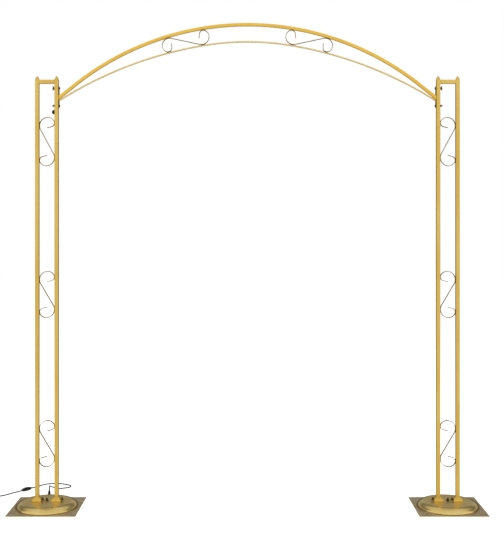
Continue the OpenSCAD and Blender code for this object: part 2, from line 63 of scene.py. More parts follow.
class Value:
    """A shader value that does sums: each operator adds one Math node to the finish."""

    def __init__(self, finish, socket):
        self.finish, self.socket = finish, socket

    def sum(self, operation, other):
        return self.finish.node("ShaderNodeMath", {"operation": operation}, {0: self, 1: other})

    def __add__(self, other):
        return self.sum("ADD", other)

    def __mul__(self, other):
        return self.sum("MULTIPLY", other)

    def __gt__(self, other):
        return self.sum("GREATER_THAN", other)

    def __lt__(self, other):
        return self.sum("LESS_THAN", other)

    __radd__, __rmul__ = __add__, __mul__


class Finish:
    """The nodes of one of the arch's finishes, or of the studio's sky."""

    def __init__(self, holder):
        self.holder = holder
        holder.use_nodes = True
        self.tree = holder.node_tree
        self.tree.nodes.clear()

    def node(self, kind, settings={}, sockets={}, out=0):
        """Adds a node: its settings first, with a ramp's stops, then its sockets' values or links."""
        made = self.tree.nodes.new(kind)
        for key, value in settings.items():
            if key == "stops":
                made.color_ramp.elements.remove(made.color_ramp.elements[1])
                for at, colour in value:
                    made.color_ramp.elements.new(at).color = (*colour, 1)
                made.color_ramp.elements.remove(made.color_ramp.elements[0])
            else:
                setattr(made, key, value)
        for key, value in sockets.items():
            if isinstance(value, Value):
                self.tree.links.new(value.socket, made.inputs[key])
            elif isinstance(value, tuple) and made.inputs[key].type == "RGBA":
                made.inputs[key].default_value = (*value, 1)
            else:
                made.inputs[key].default_value = value
        return Value(self, made.outputs[out]) if len(made.outputs) else made

    def noise(self, scale, detail=3.0, roughness=0.5, stretch=(1, 1, 1)):
        """Cloudy noise of so many lumps in a metre, from 0 to 1."""
        place = self.node("ShaderNodeTexCoord", out="Object")
        where = self.node("ShaderNodeMapping", {}, {"Vector": place, "Scale": stretch})
        return self.node("ShaderNodeTexNoise", {}, {
            "Vector": where, "Scale": float(scale), "Detail": detail, "Roughness": roughness})

    def ramp(self, value, *stops):
        """Colours by value: stops are (position, colour)."""
        return self.node("ShaderNodeValToRGB", {"stops": stops}, {0: value})

    def height(self):
        """The height above the floor of the point that is painted, in metres."""
        return self.node("ShaderNodeSeparateXYZ", {}, {0: self.node("ShaderNodeTexCoord", out="Object")}, out=2)

    def blend(self, factor, a, b):
        """Colour a turning to colour b as factor goes from 0 to 1."""
        return self.node("ShaderNodeMix", {"data_type": "RGBA"}, {0: factor, 6: a, 7: b}, out=2)

    def bump(self, height, distance):
        return self.node("ShaderNodeBump", {}, {"Height": height, "Distance": distance})

    def surface(self, **sockets):
        """The Principled surface, with its sockets by name; it gives back the material."""
        names = {name.replace("_", " ").title(): value for name, value in sockets.items()}
        names = {name.replace("Ior", "IOR"): value for name, value in names.items()}
        shader = self.node("ShaderNodeBsdfPrincipled", {}, names)
        self.node("ShaderNodeOutputMaterial", {}, {"Surface": shader})
        return self.holder


# Mains lead. A round two-core lead in a smooth black sheath, 6 mm across and 1.8 m long, with an
# in-line switch. It leaves the left base by its gland, lies in one loose loop behind the base, and
# its spare length is wound into a coil of four to five turns beside the plug, outside the picture.
lead_d = 0.006
gland_slope, gland_turn = math.radians(38), math.radians(7)
dome_seat = (0.116 + 0.044 * math.cos(gland_slope), 0.004 + 0.028 * math.sin(gland_slope))
gland_tilt = math.atan2(0.044 * math.sin(gland_slope), 0.028 * math.cos(gland_slope))
gland_back = np.array([-math.sin(gland_turn), math.cos(gland_turn), 0])
gland_side = np.array([math.cos(gland_turn), math.sin(gland_turn), 0])
gland_up = np.array([0, 0, 1])
gland_dir = math.cos(gland_tilt) * gland_back + math.sin(gland_tilt) * gland_up
gland_foot = np.array([-1.032, 0, dome_seat[1]]) + dome_seat[0] * gland_back
gland_end = gland_foot + 0.0272 * gland_dir
bend_angle = np.linspace(gland_tilt, math.radians(-20), 6)[:, None]
bend_run_in, bend_r = 0.0068, 4.85 * lead_d
bend_route = gland_end + bend_run_in * gland_dir + bend_r * (
    (math.sin(gland_tilt) - np.sin(bend_angle)) * gland_back
    + (np.cos(bend_angle) - math.cos(gland_tilt)) * gland_up)
near_route = 0.001 * np.array([
    [-1057, 210, 52.8], [-1056.3, 219.5, 49.1], [-1055, 230.5, 44.8], [-1053, 243, 39.9],
    [-1050, 258, 34.3], [-1046.2, 275, 28.1], [-1042.2, 293, 21.6], [-1038.2, 311, 15.2],
    [-1033.5, 327, 9.6], [-1027, 341, 5.4], [-1018, 351.5, 3.4], [-1006, 358.5, 3], [-993.5, 364.1, 3],
    [-983.5, 373.4, 3], [-978.4, 386.1, 3], [-979.1, 399.8, 3], [-985.3, 412, 3], [-994.8, 421.9, 3],
    [-1014, 434.7, 3], [-1035, 444.7, 3], [-1059, 451, 3], [-1086, 452, 3], [-1111, 446, 3],
    [-1132, 432, 3], [-1148, 412, 3], [-1158, 393, 3], [-1167, 374, 4], [-1176.5, 357, 6],
    [-1186.5, 344.2, 8]])
far_route = 0.001 * np.array([
    [-1227.5, 291.8, 8], [-1235, 284, 6], [-1246, 278, 4], [-1258, 271, 3], [-1268, 261, 3],
    [-1277, 248, 3], [-1287, 233, 3], [-1298, 218, 3], [-1311, 205, 3], [-1325, 195, 3], [-1333, 190, 3]])
tail_route = 0.001 * np.array([
    [-1407.5, 207.5, 13.3], [-1408, 222.5, 12.2], [-1405.5, 238, 10.4], [-1403, 252, 7]])
coil_centre = np.array([-1.372, 0.211, 0])


def coil_turns():
    """The coil's middle line: its radius and height follow the angle wound, outer row first, then
    the inner row, up to the second layer and out again, and the last part turn on top of them."""
    wound = np.arange(15, 1560, 22.5)
    radius = np.interp(wound, [0, 290, 360, 890, 950, 1190, 1260], [38.5, 38.5, 32, 32, 38.5, 38.5, 35.2])
    height = np.interp(
        wound, [0, 60, 590, 650, 1170, 1235, 1450, 1560], [3, 3.8, 3.8, 9.8, 9.8, 15.6, 15.6, 14])
    angle = np.radians(-45 - wound)
    return coil_centre + 0.001 * np.stack([radius * np.cos(angle), radius * np.sin(angle), height], axis=1)


in_switch = near_route[-1] + np.linspace(0, 1, 6)[1:-1, None] * (far_route[0] - near_route[-1])
lead_points = np.concatenate([
    [gland_end], bend_route, near_route, in_switch, far_route, coil_turns(), tail_route])


def smoothed(points, parts):
    """A curve through the points: on each stretch, a cubic that leaves along the line between the
    point's two neighbours."""
    run_on = np.concatenate([[2 * points[0] - points[1]], points, [2 * points[-1] - points[-2]]])
    before, start, stop, after = (run_on[k:len(run_on) - 3 + k, None, :] for k in range(4))
    t = (np.arange(parts) / parts)[None, :, None]
    curve = 0.5 * (2 * start + (stop - before) * t + (2 * before - 5 * start + 4 * stop - after) * t ** 2
                   + (3 * start - before - 3 * stop + after) * t ** 3)
    return np.concatenate([curve.reshape(-1, 3), points[-1:]])


def carried(path, section):
    """A flat section carried along a path: its first number goes sideways, level with the floor,
    and its second goes up, square to the path."""
    along = np.gradient(path, axis=0)
    side = np.cross(along, [0.0, 0.0, 1.0])
    up = np.cross(side, along)
    side /= np.linalg.norm(side, axis=1)[:, None]
    up /= np.linalg.norm(up, axis=1)[:, None]
    return path[:, None] + section[..., :1] * side[:, None] + section[..., 1:] * up[:, None]


def heading(degrees):
    """Unit vectors at the given angles from the first axis."""
    return np.stack([np.cos(np.radians(degrees)), np.sin(np.radians(degrees))], axis=-1)


def framed(grid, at, along, side):
    """A grid set down at a place, with its own z turned along one direction and its x along another."""
    return np.array(at) + grid @ np.array([side, np.cross(along, side), along])


def make_piece(name, sheets, material, slot, *nodes, sharp=40):
    """One piece of sheets. A sheet is a grid of points whose columns meet round the back, and a
    word for the ends of its rows: they meet, or close in flat caps."""
    points, faces, start = [], [], 0
    for grid, ends in sheets:
        rows, columns = grid.shape[:2]
        i, j = np.indices((rows if ends == "meet" else rows - 1, columns))
        below, beside = (i + 1) % rows, (j + 1) % columns
        quads = np.stack([
            i * columns + j, below * columns + j, below * columns + beside, i * columns + beside], -1)
        faces += (start + quads.reshape(-1, 4)).tolist()
        if ends == "caps":
            faces += [list(range(start, start + columns)),
                      list(range(start + (rows - 1) * columns, start + rows * columns))]
        points.append(grid.reshape(-1, 3))
        start += rows * columns
    mesh = bpy.data.meshes.new(name)
    mesh.from_pydata(np.concatenate(points).tolist(), [], faces)
    shell = bmesh.new()
    shell.from_mesh(mesh)
    bmesh.ops.remove_doubles(shell, verts=shell.verts, dist=1e-6)
    bmesh.ops.recalc_face_normals(shell, faces=shell.faces)
    shell.to_mesh(mesh)
    shell.free()
    mesh.polygons.foreach_set("use_smooth", np.ones(len(mesh.polygons), dtype=bool))
    mesh.set_sharp_from_angle(angle=math.radians(sharp))
    mesh.materials.append(material)
    piece = bpy.data.objects.new(name, mesh)
    bpy.context.scene.collection.objects.link(piece)
    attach(piece, "root")
    if nodes:
        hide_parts(*nodes)
    return piece


sheath = Finish(bpy.data.materials.new("black_sheath"))
black_sheath = sheath.surface(
    base_color=sheath.ramp(sheath.noise(60), (0.35, (0.003, 0.003, 0.003)), (0.7, (0.006, 0.006, 0.006))),
    roughness=sheath.noise(220, 4) * 0.12 + 0.5, specular_ior_level=0.22,
    normal=sheath.bump(sheath.noise(900, 2), 0.00002))
lead_path = smoothed(lead_points, 4)
lead = make_piece("mains_lead", [(carried(lead_path, lead_d / 2 * heading(22.5 * np.arange(16))), "caps")],
                  black_sheath, "black_lead", "lead_near", "lead_far", "lead_coil", "lead_tail", sharp=80)


# Cord gland. A moulded rubber strain relief, clipped into the skirt of the left base: a collar
# against the sheet, then six ribs that taper to the lead.
plastic = Finish(bpy.data.materials.new("black_moulded_plastic"))
black_plastic = plastic.surface(
    base_color=plastic.ramp(plastic.noise(120), (0.3, (0.003, 0.003, 0.0032)), (0.7, (0.007, 0.007, 0.0075))),
    roughness=plastic.noise(300, 3) * 0.14 + 0.34, specular_ior_level=0.35,
    normal=plastic.bump(plastic.noise(1500, 2), 0.00005))


def turned(profile, sides=64):
    """A profile of (radius, height) points carried round the upright axis."""
    angle = np.linspace(0, 2 * np.pi, sides, endpoint=False)
    radius, height = np.array(profile).T[:, :, None]
    return np.stack([radius * np.cos(angle), radius * np.sin(angle), height + 0 * angle], axis=-1)


rib = np.array([[-0.5, 0.1], [-0.1, 0.4], [0, 0.8], [0, 3.1], [-0.1, 3.5], [-0.5, 3.8]])
gland_profile = 0.001 * np.concatenate(
    [[[4.2, -4], [4.2, 0.1], [7.6, 0.1], [8, 0.5], [8, 2.4], [7.6, 2.9]]]
    + [np.array([7.6 - 0.5 * k, 2.9 + 3.9 * k]) + rib for k in range(6)] + [[[3.9, 26.8], [3.4, 27.2]]])
gland = framed(turned(gland_profile, 40), gland_foot, gland_dir, gland_side)
make_piece("ribbed_cord_gland", [(gland, "caps")], black_plastic, "black_plastic", "cord_gland")


# In-line switch. Two moulded half shells that meet at a fine seam all round, waisted to the lead
# at both ends, with a raised frame on top and a rocker in it that is pressed down on one side.
def outline(width, depth, corner, steps=3):
    """Rounded rectangle about the origin: each corner's centre plus the corner radius at even angles."""
    angle = np.radians(90 * np.arange(4)[:, None] + np.linspace(0, 90, steps + 1)).ravel()
    sign = np.repeat([[1, 1], [-1, 1], [-1, -1], [1, -1]], steps + 1, axis=0)
    centre = sign * (np.array([width, depth]) / 2 - corner)
    return centre + corner * np.stack([np.cos(angle), np.sin(angle)], axis=1)


def stacked(width, depth, corner, levels, steps=3):
    """Rounded rectangles one over the other: a level is (inset, height), and the corner radius
    shrinks with the inset."""
    return np.array([
        np.column_stack([flat, np.full(len(flat), height)])
        for inset, height in levels
        for flat in [outline(width - 2 * inset, depth - 2 * inset, max(corner - inset, 0.0003), steps)]])


def moulded(stations, middle, power=0.62, seam=0.0004):
    """A body moulded in halves: at each station (x, half width, half height) an oval squared up by
    raising its cosine and sine to a power, with a groove on both sides where the halves meet."""
    beside_seams = [0.8, 1.6, 178.4, 179.2, 180.8, 181.6, 358.4, 359.2]
    flat = heading(np.sort(np.append(7.5 * np.arange(48) + 3.75, beside_seams)))
    squared = np.sign(flat) * np.abs(flat) ** power
    width = stations[:, 1:2] - seam * (np.abs(flat[:, 1]) < 0.02)
    return np.stack([stations[:, :1] + 0 * width, width * squared[:, 0],
                     middle + stations[:, 2:] * squared[:, 1]], axis=-1)


def bars(stations, width, foot, corner):
    """A bar of one width with a foot at one height, whose top follows stations of (x, top)."""
    return np.array([np.column_stack([np.full(len(ring), x), ring[:, 0], ring[:, 1] + (top + foot) / 2])
                     for x, top in stations for ring in [outline(width, top - foot, corner)]])


def laid(grid, at, degrees):
    """A grid set down at a place and turned level through an angle."""
    return framed(grid, at, (0, 0, 1), (*heading(degrees), 0))


switch_at, switch_yaw = (-1.207, 0.318, 0), 232
switch_half = np.array([[-33, 4.4, 4.0], [-30, 4.9, 4.5], [-26, 7.4, 6.2], [-20, 10.8, 7.4], [-12, 12.7, 7.9],
                        [0, 13, 8]]) * 0.001
switch_body = moulded(smoothed(np.concatenate([switch_half, switch_half[-2::-1] * [-1, 1, 1]]), 4), 0.008)
switch_rim = stacked(0.0252, 0.0152, 0.003, [(0, 0.0145), (0, 0.0161), (0.0004, 0.0165), (0.0013, 0.0165),
                                             (0.0017, 0.0161), (0.0017, 0.0145)])
make_piece("switch_shells", [(laid(switch_body, switch_at, switch_yaw), "caps"),
                             (laid(switch_rim, switch_at, switch_yaw), "meet")],
           black_plastic, "black_plastic", "inline_switch")
rocker_top = 0.001 * np.array([
    [-10.4, 15.4], [-10, 15.9], [-4, 15.9], [0, 16.3], [1.5, 16.8], [9.9, 18.4], [10.4, 18]])
rocker = laid(bars(rocker_top, 0.0108, 0.0125, 0.0008), switch_at, switch_yaw)
make_piece("switch_rocker_key", [(rocker, "caps")], black_plastic, "black_plastic", "switch_rocker")


# Coil tie. A soft black strap round the coil's two layers, closed with a small moulded head.
tie_out = np.array([*heading(228), 0])
tie_along = np.array([*heading(318), 0])
tie_band = stacked(0.0142, 0.0134, 0.0032, [(0, -0.0028), (0, 0.0028), (0.0005, 0.0028), (0.0005, -0.0028)], 5)
tie_head = stacked(0.0062, 0.0058, 0.001, [(0.0006, 0), (0, 0.0006), (0, 0.0022), (0.0006, 0.0028)])
make_piece("coil_tie", [
    (framed(tie_band, coil_centre + 0.03525 * tie_out + [0, 0, 0.0068], tie_along, tie_out), "meet"),
    (framed(tie_head, coil_centre + 0.0422 * tie_out + [0, 0, 0.0072], tie_out, tie_along), "caps")],
    black_plastic, "black_plastic")


# Mains plug. A flat two-pin plug moulded on the lead: a ringed neck that widens to a body with
# blunt corners, and two round pins with black sleeves over half their length.
plug_at, plug_yaw = (-1.403, 0.267, 0), 90
plug_half = 0.001 * np.array([
    [-18, 4.6, 4.2], [-17, 5.4, 4.9], [-15.6, 5.4, 4.9], [-15.2, 4.8, 4.3], [-14.2, 4.8, 4.3],
    [-13.8, 5.8, 5.1], [-12, 6, 5.2], [-11.6, 5.2, 4.6], [-10.6, 5.2, 4.6], [-10.2, 6.6, 5.4], [-6, 7.4, 5.8],
    [1, 11.6, 6.5], [6, 15.6, 6.9], [9, 17, 7], [14, 17.5, 7], [17.4, 17.2, 6.9], [18, 16.4, 6.2]])
pins = np.array([[0, side * 0.0095, 0.007] for side in (-1, 1)])
sleeve = turned(0.001 * np.array([[2, 16], [2, 27.8], [1.8, 28]]), 20)
prong = turned(0.001 * np.array([[1.9, 27], [1.9, 35.6], [1.5, 36.6], [0.8, 37]]), 20)
plug_front = [[(laid(framed(bar, pin, (1, 0, 0), (0, 1, 0)), plug_at, plug_yaw), "caps") for pin in pins]
              for bar in (sleeve, prong)]
make_piece("two_pin_plug", [(laid(moulded(plug_half, 0.007, 0.55), plug_at, plug_yaw), "caps")] + plug_front[0],
           black_plastic, "black_plastic", "mains_plug")
nickel = Finish(bpy.data.materials.new("nickel_plate"))
nickel_plate = nickel.surface(
    base_color=nickel.ramp(nickel.noise(200), (0.3, (0.6, 0.57, 0.5)), (0.7, (0.68, 0.65, 0.58))),
    metallic=1.0, roughness=nickel.noise(700, 3) * 0.12 + 0.2,
    normal=nickel.bump(nickel.noise(2500, 2), 0.00001))
make_piece("plug_pins", plug_front[1], nickel_plate, "dark_steel")


# Floor plates. Square plates of 4 mm steel, 350 mm across, with their edges just eased. Their
# paint is greyer and more mottled than the domes'; their sides are painted pale cream, a painted highlight.
def moved(grid, at):
    return grid + np.array(at)


def mirrored(sheets):
    """The same sheets on the other side of the arch: x changes its sign."""
    return [(grid * [-1, 1, 1], ends) for grid, ends in sheets]


def both_sides(name, sheets, material, slot, *nodes, sharp=40):
    """The right tower's piece and its mirror image on the left tower."""
    make_piece("right_" + name, sheets, material, slot, *["right_" + node for node in nodes], sharp=sharp)
    left = mirrored(sheets)
    make_piece("left_" + name, left, material, slot, *["left_" + node for node in nodes], sharp=sharp)


tower_x = 1.032
plate_t = 0.004
highlight_band = 0.0004
greige = Finish(bpy.data.materials.new("greige_plate_paint"))
greige_cloud = greige.noise(34, 5, 0.62) * 0.7 + greige.noise(190, 3) * 0.3
mottled = greige.ramp(
    greige_cloud, (0.32, (0.36, 0.27, 0.13)), (0.5, (0.48, 0.38, 0.21)), (0.7, (0.64, 0.52, 0.31)))
# Below a thin band at the top, the plate is painted pale cream: a painted highlight on its sides.
greige_paint = greige.surface(
    base_color=greige.blend(greige.height() < plate_t - highlight_band, mottled, (0.95, 0.82, 0.5)),
    metallic=0.55, roughness=greige.noise(60, 4) * 0.18 + 0.3,
    normal=greige.bump(greige.noise(420, 3), 0.00003))
plate_eased = 0.0006
both_sides("floor_plate", [(moved(stacked(0.35, 0.35, 0.0015, [
    (plate_eased, 0), (0, plate_eased), (0, plate_t - plate_eased), (plate_eased, plate_t)]),
    (tower_x, 0, 0)), "caps")], greige_paint, "base_bronze", "base_plate")


# Domed bases. Each is spun from 2 mm sheet: a flat top 232 mm across, a wide rolled shoulder, and
# a foot drawn in a little where it stands on the floor plate. It is hollow, and duller on top.
def dome_side(inset, foot):
    """The skirt up to the shoulder: a quarter ellipse, drawn in by the sheet's thickness."""
    angle = np.radians(np.linspace(foot, 90, 27))
    return np.column_stack([0.116 - inset + 0.044 * np.cos(angle), plate_t + (0.028 - inset) * np.sin(angle)])


bronze = Finish(bpy.data.materials.new("bronze_gold_paint"))
bronze_cloud = bronze.noise(26, 4, 0.6)
base_top = plate_t + 0.028
on_top = bronze.height() > base_top - 0.0004
bronze_paint = bronze.surface(
    base_color=bronze.ramp(bronze_cloud, (0.3, (0.74, 0.55, 0.18)), (0.7, (0.82, 0.64, 0.25))),
    metallic=0.85, roughness=bronze.noise(40, 4) * 0.06 + 0.18 + on_top * 0.18,
    normal=bronze.bump(bronze.noise(420, 2), 0.000006))
dome_wall = 0.002
stud_hole = 0.0043
dome_profile = np.concatenate([
    [[0.1575, plate_t], [0.159, plate_t + 0.0005], [0.1597, plate_t + 0.0015]], dome_side(0, 5),
    [[0.08, base_top], [0.03, base_top], [stud_hole, base_top]],
    [[stud_hole, base_top - dome_wall], [0.08, base_top - dome_wall]], dome_side(dome_wall, 5)[::-1],
    [[0.1575, plate_t + 0.0015], [0.157, plate_t + 0.0008]]])
both_sides("domed_base", [(moved(turned(dome_profile, 160), (tower_x, 0, 0)), "meet")],
           bronze_paint, "base_bronze", "base_dome", sharp=60)


# Base studs and wing nuts. A threaded stud comes up through the middle of each dome, and a cast
# wing nut clamps the dome down on its plate: a coned hub with two ears that lean outwards.
zinc = Finish(bpy.data.materials.new("dull_zinc"))
dull_zinc = zinc.surface(
    base_color=zinc.ramp(zinc.noise(300, 3), (0.3, (0.06, 0.04, 0.015)), (0.7, (0.17, 0.115, 0.04))),
    metallic=0.85, roughness=zinc.noise(500, 3) * 0.16 + 0.3, normal=zinc.bump(zinc.noise(1800, 2), 0.00003))


def thread(radius, pitch, foot, top):
    """A threaded rod: at each turn of the thread, the radius swings by a third of the pitch."""
    height = np.arange(foot, top, pitch / 4)
    ridge = radius - pitch / 6 - pitch / 6 * np.cos(2 * np.pi * (height - foot) / pitch)
    return turned(np.concatenate([np.column_stack([ridge, height]), [[radius * 0.75, top + pitch / 2]]]), 32)


def wing_nut(bore, hub, span):
    """Sheets of a wing nut on its upright axis: the hub, and two ears. An ear is an oval section
    that follows a line out and up from the hub, thinner and wider towards its tip."""
    bore_r, hub_r = bore / 2, bore * 0.95
    shell = turned([[bore_r, 0], [hub_r - 0.0003, 0], [hub_r, 0.0003], [hub_r * 0.84, hub - 0.0006],
                    [hub_r * 0.78, hub], [bore_r + 0.0002, hub], [bore_r, hub - 0.0003]], 40)
    t = np.linspace(0, 1, 15)[:, None]
    line = np.hstack([hub_r * 0.5 + (span / 2 - hub * 0.42 - hub_r * 0.5) * t ** 0.8,
                      hub * (0.4 + 1.15 * t ** 1.3)])
    along = np.gradient(line, axis=0)
    across = np.stack([-along[:, 1], along[:, 0]], axis=1) / np.linalg.norm(along, axis=1)[:, None]
    wide = hub * (0.36 + 0.08 * t) * np.sqrt(1 - np.clip(t * 2.6 - 1.62, 0, 0.985) ** 2)
    thick = bore * (0.2 - 0.09 * t)
    ring = heading(np.arange(0, 360, 22.5))
    flat = line[:, None] + (wide * ring[None, :, 0])[..., None] * across[:, None]
    ear = np.stack([flat[..., 0], thick * ring[None, :, 1], flat[..., 1]], axis=-1)
    return [(shell, "meet"), (ear, "caps"), (ear * [-1, -1, 1], "caps")]


stud = np.concatenate([turned([[0.004, plate_t], [0.004, 0.03]], 32), thread(0.004, 0.00125, 0.0302, 0.0478)])
both_sides("base_stud_thread", [(moved(stud, (tower_x, 0, 0)), "caps")], dull_zinc, "dark_steel", "base_stud")
both_sides("base_wing_nut_cast", [(framed(grid, (tower_x, 0, base_top), (0, 0, 1), (*heading(60), 0)), ends)
                                  for grid, ends in wing_nut(0.0086, 0.009, 0.032)],
           dull_zinc, "dark_steel", "base_wing_nut")


# Gold paint. Satin metallic gold sprayed over the steel: cloudy in long soft patches, with the
# faint orange peel of sprayed paint.
gold = Finish(bpy.data.materials.new("gold_paint"))
gold_cloud = gold.noise(7, 3, 0.55, (1, 1, 0.35))
gold_paint = gold.surface(
    base_color=gold.ramp(gold_cloud, (0.34, (0.77, 0.5, 0.085)), (0.66, (0.83, 0.59, 0.15))),
    metallic=0.85, roughness=gold.noise(50, 4) * 0.08 + 0.27,
    normal=gold.bump(gold.noise(600, 2), 0.000004))


# Post shoes. Hollow square covers, cast with an upright rim on a small set-back foot and four
# sloping sides, that slip down the posts onto the domed base. A thumb screw in the side that
# faces the walkway grips the post.
post_x = 0.05
post_tube = 0.02
shoe_levels = [
    (0.003, 0), (0.003, 0.0018), (0, 0.0021), (0, 0.0105), (0.0003, 0.0112), (0.0009, 0.0117), (0.0035, 0.0138),
    (0.0108, 0.0221), (0.0116, 0.0227), (0.0126, 0.023), (0.0137, 0.023), (0.0137, 0.0215), (0.0018, 0.0098),
    (0.0018, 0)]
for where, side in (("outer", 1), ("inner", -1)):
    at = tower_x + side * post_x
    shoe = moved(stacked(0.048, 0.048, 0.0015, shoe_levels), (at, 0, base_top))
    both_sides(where + "_post_shoe", [(shoe, "meet")], gold_paint, "gold_paint", where + "_shoe", sharp=30)
    screw = [(grid * 0.9, ends) for grid, ends in wing_nut(0.006, 0.0075, 0.024)]
    both_sides(where + "_thumb_screw", [
        (framed(grid, (at - 0.0242, 0, base_top + 0.009), (-0.94, 0, 0.342), (0.342, 0, 0.94)), ends)
        for grid, ends in screw + [(thread(0.0024, 0.0008, -0.003, 0.0085), "caps")]], dull_zinc, "dark_steel")


# Posts and top rails. Square 20 mm tube with 1.5 mm walls and rolled corners. Each tower has two
# posts, joined at the top by a short rail between them.
post_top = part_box("right_outer_post")[1][2]
post_wall = 0.0015
post_corner = 0.0014
end_eased = 0.0003
for where, side in (("outer", 1), ("inner", -1)):
    both_sides(where + "_post_tube", [(moved(stacked(post_tube, post_tube, post_corner, [
        (end_eased, base_top), (0, base_top + end_eased), (0, post_top - end_eased), (end_eased, post_top),
        (post_wall, post_top), (post_wall, base_top)]), (tower_x + side * post_x, 0, 0)), "meet")],
        gold_paint, "gold_paint", where + "_post")
rail = stacked(post_tube, post_tube, post_corner, [
    (0, -0.04), (0, 0.04), (post_wall, 0.04), (post_wall, -0.04)])[:, :, [2, 1, 0]]
both_sides("top_rail_tube", [(moved(rail, (tower_x, 0, post_top - post_tube / 2)), "meet")],
           gold_paint, "gold_paint", "top_rail")


# Post caps. Pressed caps pushed into the open tube ends: a square flange, a pointed dome on it,
# and a short plug inside the tube.
cap_rise = 0.018
dome_turn = np.linspace(0, 1, 13)
cap_dome = np.column_stack([0.0095 * np.cos(np.pi / 2 * dome_turn) ** 0.8, 0.002 + cap_rise * dome_turn])
cap_sheets = [
    (stacked(post_tube, post_tube, 0.0014, [(0.0005, 0), (0, 0.0005), (0, 0.0015), (0.0006, 0.002)]), "caps"),
    (stacked(0.0164, 0.0164, 0.001, [(0.001, -0.009), (0, -0.008), (0, 0.001)]), "caps"),
    (turned(cap_dome, 48), "caps")]
for where, side in (("outer", 1), ("inner", -1)):
    both_sides(where + "_post_cap", [(moved(grid, (tower_x + side * post_x, 0, post_top)), how)
                                     for grid, how in cap_sheets], gold_paint, "gold_paint", where + "_cap")


# Cable outlet cap. A domed black plastic cap with a thin collar, pressed into the hole in the left
# inner post through which the wire for the lights comes out.
outlet_z = np.mean([corner[2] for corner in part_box("cable_outlet_cap")])
outlet_turn = np.radians(np.linspace(0, 88, 14))
outlet_profile = np.concatenate([
    [[0.0043, -0.003], [0.0043, 0.0001], [0.0127, 0.0001], [0.013, 0.0004], [0.013, 0.0016],
     [0.0124, 0.0019]],
    np.column_stack([0.0122 * np.cos(outlet_turn), 0.0019 + 0.0126 * np.sin(outlet_turn)])])
outlet_at = (-tower_x + post_x - post_tube / 2, 0, outlet_z)
make_piece("domed_outlet_cap", [(framed(turned(outlet_profile, 48), outlet_at, (-1, 0, 0), (0, 1, 0)), "caps")],
           black_plastic, "black_plastic", "cable_outlet_cap")


# Scrolls. Flat bar, 12 by 3 mm, bent cold into an S: each end is a curl of three arcs and a short
# straight tail. Three stand between the posts of each tower, and two lie in the arch. Each curl
# is welded where it touches, front and back.
strip_t, strip_w = 0.003, 0.012
crown_shift, small_r, tail_l = 0.004, 0.02, 0.023
mid_turn, curl_turn = 60, 166
touch = 0.0001


def curl_radii(half):
    """Radii of a curl's big and middle arc, for half the width that it fills."""
    return half + crown_shift, small_r + (half - crown_shift - small_r) / math.sin(math.radians(mid_turn))


def curl(half, back):
    """A curl's middle line and outward normals, about the centre of its big arc, crown upwards:
    the straight tail, then points at a radius from a centre along a tight, a middle and a big arc."""
    big_r, mid_r = curl_radii(half)
    mid_c = np.array([0, big_r - mid_r])
    small_c = mid_c + (mid_r - small_r) * heading(90 - mid_turn)
    tail_n = heading(90 - curl_turn)
    tail = small_c + small_r * tail_n + np.linspace(tail_l, 0, 6)[:-1, None] * [tail_n[1], -tail_n[0]]
    tight = heading(np.linspace(90 - curl_turn, 90 - mid_turn, 36))
    middle = heading(np.linspace(90 - mid_turn, 90, 20)[1:])
    big = heading(np.linspace(90, 90 + back, 60)[1:])
    return (np.concatenate([tail, small_c + small_r * tight, mid_c + mid_r * middle, big_r * big]),
            np.concatenate([np.repeat(tail_n[None], 5, axis=0), tight, middle, big]))


def rotated(points, degrees):
    (c, s) = heading(degrees)
    return points @ np.array([[c, s], [-s, c]])


def scroll(c1, crown1, half1, c2, crown2, half2):
    """An S from two curls, joined by the straight that touches both big arcs, as the strip's
    section carried along it: thickness along the normal, depth along y."""
    span = c2 - c1
    reach = half1 + half2 + 2 * crown_shift
    tangent = math.degrees(math.atan2(span[1], span[0]) - math.acos(reach / np.linalg.norm(span)))
    line1, normal1 = curl(half1, (tangent - crown1) % 360)
    line2, normal2 = curl(half2, (tangent - crown2 + 180) % 360)
    line = np.concatenate([c1 + rotated(line1, crown1 - 90), (c2 + rotated(line2, crown2 - 90))[::-1]])
    normal = np.concatenate([rotated(normal1, crown1 - 90), -rotated(normal2, crown2 - 90)[::-1]])
    section = outline(strip_t, strip_w, 0.0007, 2)
    flat = line[:, None, :] + normal[:, None, :] * section[None, :, :1]
    return np.stack([flat[..., 0], np.broadcast_to(section[:, 1], flat.shape[:2]), flat[..., 1]], axis=-1)


def welds(centre, crown, half, length=0.026):
    """Four beads of weld where a curl bears on both its neighbours, at its front and back edges: a
    bead is a ring about a short line, whose radius swells to the middle and ripples."""
    big_r, mid_r = curl_radii(half)
    spots = [(-1, np.array([-big_r - strip_t / 2, 0])),
             (1, np.array([half - crown_shift + strip_t / 2, big_r - mid_r + (mid_r - small_r) * 0.5]))]
    t = np.linspace(-1, 1, 33)[:, None]
    ring = heading(np.arange(0, 360, 36))
    radius = 0.0024 * np.sqrt(1 - 0.97 * t ** 2) * (1 + 0.08 * np.cos(14 * np.pi * t))
    sheets = []
    for side, spot in spots:
        line = centre + rotated(spot + np.hstack([0 * t, t * length / 2]), crown - 90)
        out = rotated(np.array([[side, 0.0]]), crown - 90)[0]
        for edge_y in (-strip_w / 2, strip_w / 2):
            flat = line[:, None] + (radius * ring[None, :, 0] * 0.8)[..., None] * out
            depth = edge_y + radius * ring[None, :, 1]
            sheets.append((np.stack([flat[..., 0], depth, flat[..., 1]], axis=-1), "caps"))
    return sheets
